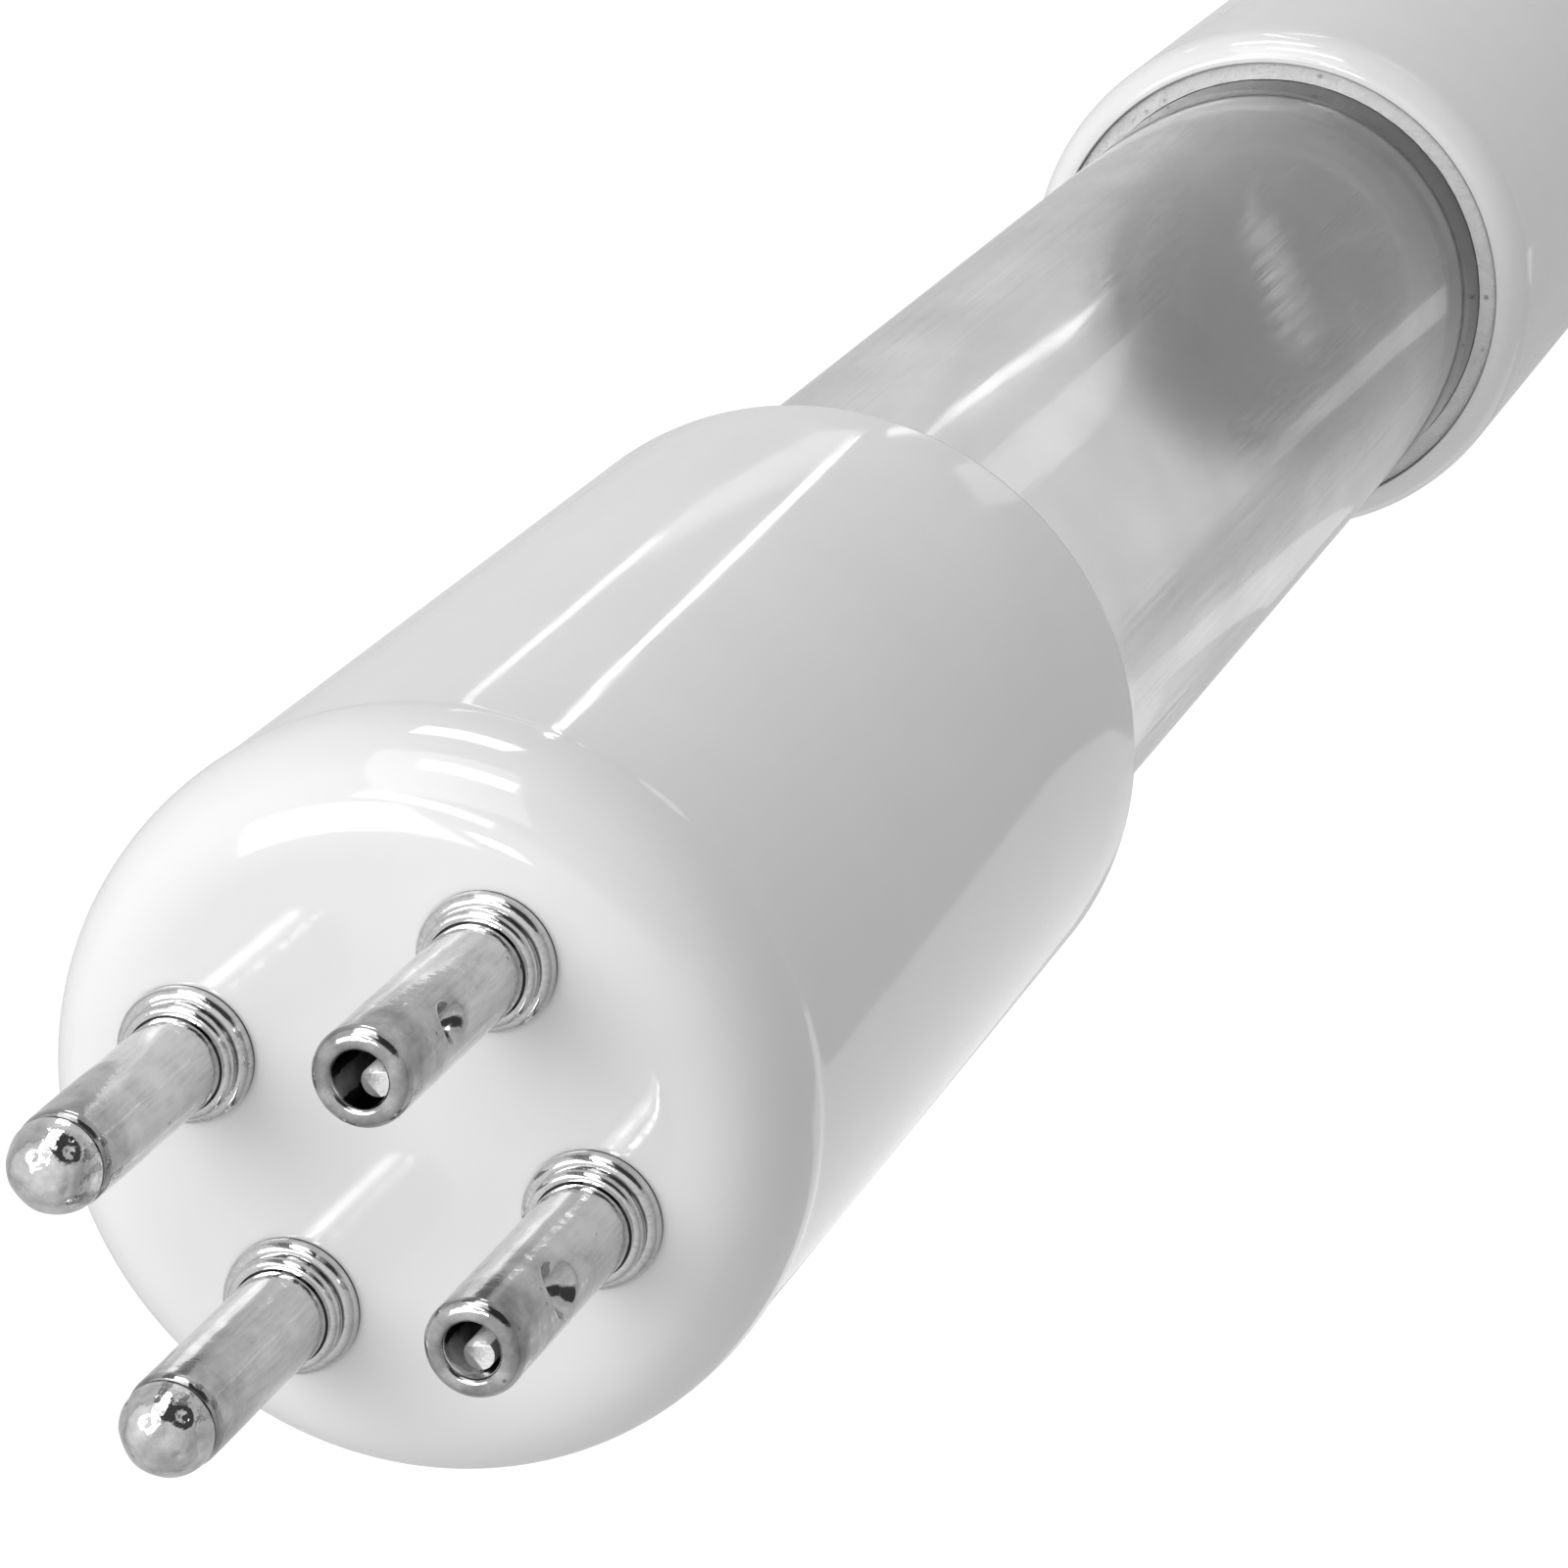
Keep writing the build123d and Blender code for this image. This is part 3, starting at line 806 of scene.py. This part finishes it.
@dataclass
class BlankCap(Ceramic):
    """The glazed cap without pins, on whose flat end the lamp stands."""

    piece: str = "glazed_cap"
    node: str = "end_cap"
    floor: float = 3.0
    foot_ring: float = 4.0
    foot_round: float = 1.0
    lip: Point = (0.9, 1.6)

    def outline(self) -> Outline:
        """The section: end, foot rounding, side, rounded lip, bore."""
        foot = self.foot_round
        lip_low = CAP_MOUTH - self.lip[1]
        section = Outline().to((0.0, 0.0), (self.foot_ring, 0.0))
        section.bend(self.radius - foot, foot, foot, (-90.0, 0.0), 12)
        section.down(self.radius, foot + 1.0, lip_low - 0.5, self.side_steps)
        section.sweep((self.radius - self.lip[0], lip_low), self.lip, (0.0, 90.0), 20)
        section.to((self.bore, CAP_MOUTH))
        return section.down(self.bore, CAP_MOUTH - 0.5, self.floor, self.bore_steps).to((0.0, self.floor))


class PinKind(Enum):
    """How a contact pin ends."""

    OPEN = "open"
    CLOSED = "closed"


@dataclass
class ContactPin:
    """A hollow plated pin with a stepped collar, riveted behind the base's wall.

    bite holds the half widths of the crimp's tooth mark and its turn in degrees.
    """

    number: int
    kind: PinKind
    centre: Point
    height: float
    wire_lean: float = 0.0
    radius: float = 1.15
    bore: float = 0.65
    tip_round: float = 0.33
    mouth_chamfer: float = 0.15
    collar_radius: float = 1.65
    collar_round: float = 0.24
    step_radius: float = 1.4
    step_round: float = 0.16
    step_foot: float = 0.04
    rivet_radius: float = 1.55
    rivet_thickness: float = 0.4
    crimp_height: float = 4.9
    crimp_tool: float = 0.8
    crimp_wall: float = 0.35
    crimp_passes: int = 6
    bite: Place = (0.26, 0.46, 20.0)
    bite_depth: float = 0.22
    unevenness: float = 0.012
    wire_radius: float = 0.35
    seat: float = 0.02
    steps: int = 176
    barrel_steps: int = 150
    bore_steps: int = 110
    round_steps: int = 8

    def outline(self) -> Outline:
        """The section: rivet head, shank, collar and its step, barrel, rounded tip, bore."""
        top = FACE + self.height
        behind = FACE - FRONT_WALL
        rivet_low = behind - self.rivet_thickness
        quarter = (0.0, 90.0)
        section = Outline().to((self.bore, rivet_low), (self.rivet_radius, rivet_low))
        section.to((self.rivet_radius, behind), (self.radius, behind), (self.radius, FACE))
        section.to((self.collar_radius, FACE))
        flange, step = FACE + COLLAR_THICKNESS, FACE + COLLAR_HEIGHT
        soft, small = self.collar_round, self.step_round
        section.bend(self.collar_radius - soft, flange - soft, soft, quarter, self.round_steps)
        section.to((self.step_radius, flange))
        section.bend(self.step_radius - small, step - small, small, quarter, self.round_steps)
        section.to((self.radius + self.step_foot, step))
        foot, head = step + 0.05, top - self.tip_round
        section.down(self.radius, foot, head - 0.02, self.barrel_steps)
        section.bend(self.radius - self.tip_round, head, self.tip_round, quarter, 10)
        mouth = top - self.mouth_chamfer
        section.bend(self.bore + self.mouth_chamfer, mouth, self.mouth_chamfer, (90.0, 180.0), 6)
        return section.down(self.bore, mouth - 0.05, rivet_low + 0.4, self.bore_steps)

    def crimp_centre(self) -> Vector:
        """The middle of the round tool that pressed the wall onto the wire, from +X."""
        lean = self.bore - self.wire_radius - self.seat
        wire_x = self.centre[0] + lean * math.cos(math.radians(self.wire_lean))
        reach = self.wire_radius + self.seat + self.crimp_wall + self.crimp_tool
        return Vector((wire_x + reach, self.centre[1], FACE + self.crimp_height))

    def press(self, shape: Shape) -> None:
        """Dents the barrel, pushes its bore in behind the dent, softens the lip and bites the dent.

        Args:
            shape: The turned pin.
        """
        tool = self.crimp_centre()
        near = []
        for vert in shape.verts:
            away = vert.co - tool
            turned = Vector((vert.co.x - self.centre[0], vert.co.y - self.centre[1])).length
            outside = turned > 0.5 * (self.bore + self.radius)
            reach = self.crimp_tool if outside else self.crimp_tool + self.crimp_wall
            flat = math.hypot(away.y, away.z)
            if flat < reach and vert.co.x > self.centre[0]:
                dented = tool.x - math.sqrt(reach**2 - flat**2)
                if dented < vert.co.x:
                    vert.co.x = dented
            if flat < 1.4 * self.crimp_tool and outside and vert.co.x > self.centre[0]:
                near.append(vert)
        for _ in range(self.crimp_passes):
            bmesh.ops.smooth_vert(shape, verts=near, factor=0.5, use_axis_x=True)
        turn = math.radians(self.bite[2])
        for vert in near:
            y, z = vert.co.y - tool.y, vert.co.z - tool.z
            across = (y * math.cos(turn) + z * math.sin(turn)) / self.bite[0]
            along = (z * math.cos(turn) - y * math.sin(turn)) / self.bite[1]
            vert.co.x -= self.bite_depth * math.exp(-((across**2 + along**2) ** 2))

    def knock(self, shape: Shape) -> None:
        """Gives the barrel the shallow unevenness of a pressed pin.

        Args:
            shape: The turned pin.
        """
        low = FACE + COLLAR_HEIGHT + 0.1
        for vert in shape.verts:
            arm = Vector((vert.co.x - self.centre[0], vert.co.y - self.centre[1], 0.0))
            if arm.length > self.radius - 0.02 and vert.co.z > low:
                wave = noise.noise(vert.co * 0.9 + Vector((7.0 * self.number, 0.0, 0.0)))
                vert.co += arm.normalized() * (self.unevenness * min(0.0, wave))

    def build(self, shop: Workshop) -> None:
        """Turns the pin, and crimps it if it is open."""
        shape = self.outline().turn(self.steps, self.centre)
        self.knock(shape)
        if self.kind is PinKind.OPEN:
            self.press(shape)
        name = f"{self.kind.value}_pin_{self.number}"
        shop.finish(shape, name, Dress.PLATING, f"contact_pin_{self.number}")


@dataclass
class SolderDome:
    """The solder that closes a pin: a dome that set unevenly, with a plug down the bore.

    Each pit is an azimuth, a rise above the seat in degrees and a size.
    """

    number: int
    centre: Point
    seat: float = FACE + CLOSED_PIN_HEIGHT
    radius: float = 1.1
    height: float = 1.15
    plug_radius: float = 0.63
    plug_depth: float = 1.0
    sag: float = 0.06
    steps: int = 112
    dome_steps: int = 56
    pits: tuple[Place, ...] = ((20.0, 38.0, 0.13), (-45.0, 55.0, 0.1), (80.0, 62.0, 0.09))

    def outline(self) -> Outline:
        """The section: plug, seat, dome."""
        bend = (self.radius**2 + self.height**2) / (2.0 * self.height)
        plug_low = self.seat - self.plug_depth
        section = Outline().to((0.0, plug_low), (self.plug_radius, plug_low), (self.plug_radius, self.seat))
        start = -math.degrees(math.acos(min(1.0, self.radius / bend)))
        section.bend(0.0, self.seat + self.height - bend, bend, (start, 90.0), self.dome_steps)
        section.points[-1] = (0.0, section.points[-1][1])
        return section

    def hollows(self) -> list[tuple[Vector, float]]:
        """The way to each pit from the middle of the seat, and its size."""
        found = []
        for azimuth, rise, size in self.pits:
            flat = math.cos(math.radians(rise))
            turn = math.radians(azimuth)
            aim = (flat * math.cos(turn), flat * math.sin(turn), math.sin(math.radians(rise)))
            found.append((Vector(aim), size))
        return found

    def build(self, shop: Workshop) -> None:
        """Turns the dome, then lets it sag in lumps and pits."""
        shape = self.outline().turn(self.steps, self.centre)
        middle = Vector((*self.centre, self.seat))
        hollows = self.hollows()
        for vert in shape.verts:
            arm = vert.co - middle
            if vert.co.z <= self.seat + 0.02 or arm.length < 0.5:
                continue
            aim = arm.normalized()
            fade = min(1.0, (vert.co.z - self.seat) / 0.25)
            lump = noise.noise(aim * 1.7 + Vector((3.0 * self.number, 1.0, 0.0)))
            sink = self.sag * max(0.0, 0.3 - lump)
            for hollow, size in hollows:
                gap = (aim - hollow).length / size
                sink += 0.5 * size * math.exp(-gap * gap)
            vert.co -= aim * (sink * fade)
        name = f"solder_dome_{self.number}"
        shop.finish(shape, name, Dress.SOLDER, f"solder_tip_{self.number}", sharp=60.0)


@dataclass
class PinSet:
    """The four pins on their rectangle, with the solder on the two closed ones.

    lean gives each open pin's number and the azimuth on which its wire rests.
    """

    pitch: Point = (7.92, 6.35)
    lean: dict[int, float] = field(default_factory=lambda: {2: -64.0, 4: -114.0})

    def build(self, shop: Workshop) -> None:
        """Makes each pin and each dome."""
        x, y = self.pitch[0] / 2.0, self.pitch[1] / 2.0
        places = {1: (-x, y), 2: (x, y), 3: (-x, -y), 4: (x, -y)}
        for number, centre in places.items():
            if number in self.lean:
                ContactPin(number, PinKind.OPEN, centre, OPEN_PIN_HEIGHT, self.lean[number]).build(shop)
            else:
                ContactPin(number, PinKind.CLOSED, centre, CLOSED_PIN_HEIGHT).build(shop)
                SolderDome(number, centre).build(shop)


@dataclass
class CementRing:
    """The cement between the tube and a ceramic's bore, left open at the wires' channel."""

    name: str
    node: str
    mouth: float
    inward: int
    inner: float = 7.52
    outer: float = 8.08
    recess: float = 0.1
    depth: float = 8.0
    gap: Point = (CHANNEL_AZIMUTH, 15.6)
    rough: float = 0.05
    steps: int = 320
    end_steps: int = 8

    def build(self, shop: Workshop) -> None:
        """Turns the ring with its gap and roughens the end that shows."""
        start = self.mouth + self.inward * self.recess
        end = start + self.inward * self.depth
        section = Outline()
        for step in range(self.end_steps + 1):
            section.to((self.inner + (self.outer - self.inner) * step / self.end_steps, start))
        section.to((self.outer, end), (self.inner, end))
        shape = section.turn(self.steps, gap=self.gap)
        for vert in shape.verts:
            if abs(vert.co.z - start) < 1e-4:
                lump = 0.5 + 0.5 * noise.fractal(vert.co * 1.9, 1.0, 2.0, 4)
                vert.co.z += self.inward * 2.0 * self.rough * max(0.0, lump)
        shop.finish(shape, self.name, Dress.CEMENT, self.node, sharp=60.0)


@dataclass
class Envelope:
    """The quartz tube, round between its shoulders and pinched flat at both ends."""

    radius: float = 7.5
    wall: float = 1.0
    shoulders: Point = (20.0, 100.0)
    shoulder_length: float = 4.0
    shoulder_steps: int = 16
    side_steps: int = 24
    pinch_length: float = 8.0
    pinch_half: Point = (1.5, 6.5)
    pinch_corner: float = 1.0
    tip_half: Point = (0.6, 4.5)
    tip_corner: float = 0.5
    tip_wall: float = 1.2
    steps: int = 320

    def shell(
        self, radius: float, flat: Point, corner: float, ends: Point, levels: Point
    ) -> Shape:
        """Turns one closed wall and flattens it beyond the shoulders.

        Args:
            radius: Its radius between the shoulders.
            flat: Half of the flat section's sizes along X and Y.
            corner: The flat section's corner radius.
            ends: Heights of the two closed ends.
            levels: Heights where the section has become flat.

        Returns:
            The wall, its normals outwards.
        """
        low, high = self.shoulders
        section = Outline().to((0.0, ends[0]))
        if ends[0] < levels[0]:
            section.to((radius, ends[0]))
        section.down(radius, levels[0], low, self.shoulder_steps)
        section.down(radius, low + 2.0, high - 2.0, self.side_steps)
        section.down(radius, high, levels[1], self.shoulder_steps)
        if ends[1] > levels[1]:
            section.to((radius, ends[1]))
        section.to((0.0, ends[1]))
        shape = section.turn(self.steps)
        for vert in shape.verts:
            if math.hypot(vert.co.x, vert.co.y) < 0.5 * radius or low <= vert.co.z <= high:
                continue
            start, stop = (low, levels[0]) if vert.co.z < low else (high, levels[1])
            share = min(1.0, (vert.co.z - start) / (stop - start))
            azimuth = math.atan2(vert.co.y, vert.co.x)
            for axis, way in enumerate((math.cos(azimuth), math.sin(azimuth))):
                pressed = math.copysign(flat[axis] - corner, way) + corner * way
                vert.co[axis] += share * (pressed - vert.co[axis])
        bmesh.ops.recalc_face_normals(shape, faces=shape.faces)
        return shape

    def build(self, shop: Workshop) -> None:
        """Makes the outer wall and the cavity, and the cement rings that hold the tube."""
        low, high = self.shoulders
        levels = (low - self.shoulder_length, high + self.shoulder_length)
        ends = (levels[0] - self.pinch_length, levels[1] + self.pinch_length)
        outer = self.shell(self.radius, self.pinch_half, self.pinch_corner, ends, levels)
        tips = (levels[0] + self.tip_wall, levels[1] - self.tip_wall)
        cavity = self.shell(self.radius - self.wall, self.tip_half, self.tip_corner, tips, tips)
        bmesh.ops.reverse_faces(cavity, faces=cavity.faces)
        carrier = bpy.data.meshes.new("cavity")
        cavity.to_mesh(carrier)
        cavity.free()
        outer.from_mesh(carrier)
        bpy.data.meshes.remove(carrier)
        shop.finish(outer, "clear_tube", Dress.QUARTZ, "quartz_tube", sharp=40.0, hollow=True)
        CementRing("base_cement_ring", "base_cement", BASE_MOUTH, 1).build(shop)
        CementRing("cap_cement_ring", "cap_cement", CAP_MOUTH, -1).build(shop)


@dataclass
class Wiring:
    """The bare wires in the open pins and the sleeved return wires beside the tube."""

    open_pins: tuple[int, ...] = (2, 4)
    closed_pins: tuple[int, ...] = (1, 3)

    def build(self, shop: Workshop) -> None:
        """Smooths and dresses each wire and sleeve."""
        for number in self.open_pins:
            shop.smooth_copy(f"lead_wire_{number}", f"bare_lead_{number}", Dress.WIRE)
        for number in self.closed_pins:
            shop.smooth_copy(f"return_wire_{number}", f"return_lead_{number}", Dress.WIRE)
            shop.smooth_copy(f"return_sleeve_{number}", f"woven_sleeve_{number}", Dress.SLEEVE)


@dataclass
class Electrodes:
    """The mount at each end: coil, inner leads, foils, guard ring and its stem."""

    ends: tuple[str, ...] = ("near", "far")
    leads: tuple[int, ...] = (1, 2)

    def build(self, shop: Workshop) -> None:
        """Smooths and dresses each electrode's pieces."""
        for end in self.ends:
            shop.smooth_copy(f"{end}_filament", f"{end}_coil", Dress.COATING, sharp=60.0)
            shop.smooth_copy(f"{end}_guard_ring", f"{end}_guard", Dress.GUARD)
            shop.smooth_copy(f"{end}_guard_stem", f"{end}_guard_wire", Dress.GUARD)
            for lead in self.leads:
                shop.smooth_copy(f"{end}_inner_lead_{lead}", f"{end}_lead_{lead}", Dress.MOLYBDENUM)
                shop.smooth_copy(f"{end}_seal_foil_{lead}", f"{end}_foil_{lead}", Dress.MOLYBDENUM)


# The studio


def set_up(rig: bpy.types.Object, spot: Vector, side: Vector, above: Vector, back: Vector) -> None:
    """Places a lamp or camera and adds it to the scene.

    Args:
        rig: The lamp or camera.
        spot: Its place in millimetres.
        side: The way of its X axis.
        above: The way of its Y axis.
        back: The way of its Z axis, away from what it aims at.
    """
    turn = Matrix((side, above, back)).transposed().to_4x4()
    rig.matrix_world = Matrix.Translation(spot * MM) @ turn
    bpy.context.scene.collection.objects.link(rig)


@dataclass(frozen=True)
class StudioFloor:
    """A white floor that looks white and keeps a faint shadow; its size is in metres."""

    size: float = 4.0
    drop: float = 0.00005
    matt: float = 0.5
    own_light: float = 0.72
    strength: float = 1.3
    in_gloss: float = 0.27
    in_glass: float = 0.75

    def build(self) -> None:
        """Makes the floor and its material."""
        material = bpy.data.materials.new("studio_floor")
        tree = Tree.of(material)
        rays = tree.add("LightPath").outputs
        mirrored = tree.math("MULTIPLY", rays["Is Glossy Ray"], self.in_gloss)
        seen = tree.math("MAXIMUM", rays["Is Camera Ray"], mirrored)
        through = tree.math("MULTIPLY", rays["Is Transmission Ray"], self.in_glass)
        seen = tree.math("MAXIMUM", seen, through)
        matt = tree.add("BsdfDiffuse", {"Color": grey(self.matt)})
        glow = tree.add("Emission", {"Color": grey(1.0), "Strength": self.strength})
        share = tree.math("MULTIPLY", seen, self.own_light)
        surface = tree.add("MixShader", {0: share, 1: matt.outputs[0], 2: glow.outputs[0]})
        tree.add("OutputMaterial", {"Surface": surface.outputs[0]})
        shape = bmesh.new()
        bmesh.ops.create_grid(shape, x_segments=1, y_segments=1, size=self.size / 2)
        bmesh.ops.translate(shape, verts=shape.verts, vec=(0, 0, -self.drop))
        mesh = bpy.data.meshes.new("studio_floor")
        shape.to_mesh(mesh)
        shape.free()
        mesh.materials.append(material)
        floor = bpy.data.objects.new("studio_floor", mesh)
        bpy.context.scene.collection.objects.link(floor)


@dataclass(frozen=True)
class SoftBox:
    """A rectangular lamp aimed at a point.

    level is how bright its face looks, where 1 is white, and along is the way its first side runs.
    """

    name: str
    place: Place
    aim: Place
    size: Point
    level: float
    along: Place = (1.0, 0.0, 0.0)
    lights_matt: bool = False

    def build(self) -> None:
        """Makes the lamp."""
        lamp = bpy.data.lights.new(self.name, "AREA")
        lamp.shape = "RECTANGLE"
        lamp.size, lamp.size_y = self.size[0] * MM, self.size[1] * MM
        lamp.energy = self.level * math.pi * lamp.size * lamp.size_y
        rig = bpy.data.objects.new(self.name, lamp)
        rig.visible_camera = False
        rig.visible_diffuse = self.lights_matt
        spot = Vector(self.place)
        back = (spot - Vector(self.aim)).normalized()
        side = Vector(self.along)
        side = (side - side.dot(back) * back).normalized()
        set_up(rig, spot, side, back.cross(side), back)


def floor_strip(name: str, x: float, y: float, size: Point, level: float, along: Point) -> SoftBox:
    """A strip lamp that lies on the floor, shines straight up and shows in gloss alone."""
    return SoftBox(name, (x, y, 2.0), (x, y, 99.0), size, level, (*along, 0.0))


@dataclass
class Studio:
    """Camera, room light, lamps and floor."""

    eye: Place = (62.0951, 27.8679, 243.0906)
    target: Place = (0.2280, -0.4973, 96.7543)
    roll: float = -134.2586
    focal: float = 138.16
    sensor: float = 36.0
    room_levels: Point = (0.42, 0.95)
    window_way: Place = (-0.32, 0.55, 0.77)
    shade_way: Place = (0.72, 0.6, 0.34)
    shade_level: float = 0.06
    shade_edge: Point = (0.82, 0.9)
    lamps: tuple[SoftBox, ...] = (
        SoftBox("key_lamp", (-120.0, 209.0, 469.0), (0.0, 0.0, 110.0), (220.0, 220.0), 3.4, lights_matt=True),
        SoftBox("left_box", (60.0, 240.0, 150.0), (0.0, 0.0, 80.0), (160.0, 240.0), 1.5, lights_matt=True),
        SoftBox("pin_glint", (55.0, 205.0, 580.0), (0.0, 0.0, FACE), (64.0, 50.0), 48.0, (0.97, -0.26, 0.0)),
        SoftBox("key_glint", (-118.0, 206.0, 462.0), (0.0, 0.0, 110.0), (100.0, 100.0), 9.0),
        floor_strip("side_streak", 7.7, 53.4, (21.0, 2.0), 6.0, (10.7, 17.9)),
        floor_strip("side_dot", 15.9, 64.2, (3.5, 2.4), 8.0, (0.6, 1.0)),
        floor_strip("side_haze", -17.0, 58.0, (14.0, 3.0), 1.5, (0.17, -1.0)),
        floor_strip("rear_haze", -6.0, 48.0, (20.0, 6.0), 0.5, (-0.95, 0.32)),
        floor_strip("tube_streak", 8.3, 35.3, (10.5, 3.0), 1.8, (4.7, -9.0)),
        floor_strip("tube_glow", 28.0, 27.0, (14.0, 10.0), 0.5, (1.0, -0.5)),
        floor_strip("tube_edge", 4.0, -30.0, (26.0, 6.0), 0.25, (-21.0, 12.7)),
        floor_strip("tube_band", 20.0, -13.5, (12.0, 4.0), 0.35, (9.6, -3.2)),
        floor_strip("right_card", -2.0, -55.0, (80.0, 36.0), 0.35, (1.0, 0.1)),
        SoftBox("low_strip", (19.0, 124.0, 3.0), (5.0, 7.0, 122.0), (54.0, 46.0), 5.0, (1.0, -0.1, 0.0)),
        SoftBox("level_strip", (82.0, 245.0, 111.0), RIM_AIM, (100.0, 52.0), 5.0, (1.0, -0.3, 0.0)),
        SoftBox("high_strip", (20.5, 229.0, 325.0), RIM_AIM, (150.0, 44.0), 5.0, (0.7, 0.0, 0.6)),
    )

    def camera(self) -> None:
        """Puts the camera where the photograph was taken from."""
        lens = bpy.data.cameras.new("photo_camera")
        lens.type = "PERSP"
        lens.lens = self.focal
        lens.sensor_width = self.sensor
        lens.sensor_fit = "HORIZONTAL"
        lens.clip_start, lens.clip_end = 0.005, 20.0
        rig = bpy.data.objects.new("photo_camera", lens)
        spot = Vector(self.eye)
        ahead = ((Vector(self.target) - spot) * MM).normalized()
        right = ahead.cross(Vector((0, 0, 1))).normalized()
        turn = math.radians(self.roll)
        across = math.cos(turn) * right + math.sin(turn) * right.cross(ahead)
        set_up(rig, spot, across, across.cross(ahead), -ahead)
        bpy.context.scene.camera = rig

    def room(self) -> None:
        """A room that looks white behind the lamp and whose light falls off away from its window."""
        world = bpy.data.worlds.new("studio_room")
        tree = Tree.of(world)
        way = tree.add("TexCoord").outputs["Generated"]
        facing, beside = (
            tree.add("VectorMath", {0: way, 1: aim}, operation="DOT_PRODUCT").outputs["Value"]
            for aim in (self.window_way, self.shade_way)
        )
        level = tree.remap(facing, (-0.5, 1.0), self.room_levels)
        shade = tree.remap(beside, self.shade_edge, (0.0, 1.0))
        gap = tree.math("SUBTRACT", self.shade_level, level)
        level = tree.math("ADD", level, tree.math("MULTIPLY", gap, shade))
        light = tree.add("CombineColor", {0: level, 1: level, 2: level}).outputs[0]
        rays = tree.add("LightPath").outputs
        seen = tree.math("MAXIMUM", rays["Is Camera Ray"], rays["Is Transmission Ray"])
        back = tree.add("Background", {"Color": tree.mix(seen, light, grey(1.0)), "Strength": 1.0})
        tree.add("OutputWorld", {"Surface": back.outputs[0]})
        bpy.context.scene.world = world

    def build(self) -> None:
        """Makes everything that isn't the lamp."""
        self.camera()
        self.room()
        StudioFloor().build()
        for lamp in self.lamps:
            lamp.build()
        bpy.context.scene.view_settings.view_transform = "Standard"


def main() -> None:
    """Loads the frame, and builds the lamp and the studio."""
    logging.basicConfig(level=logging.INFO, format="%(name)s: %(message)s")
    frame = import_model()
    Studio().build()
    shop = Workshop(frame["nodes"])
    for part in (GlazedBase(), BlankCap(), Envelope(), PinSet(), Wiring(), Electrodes()):
        LOG.info("building %s", type(part).__name__)
        part.build(shop)


if __name__ == "__main__":
    main()
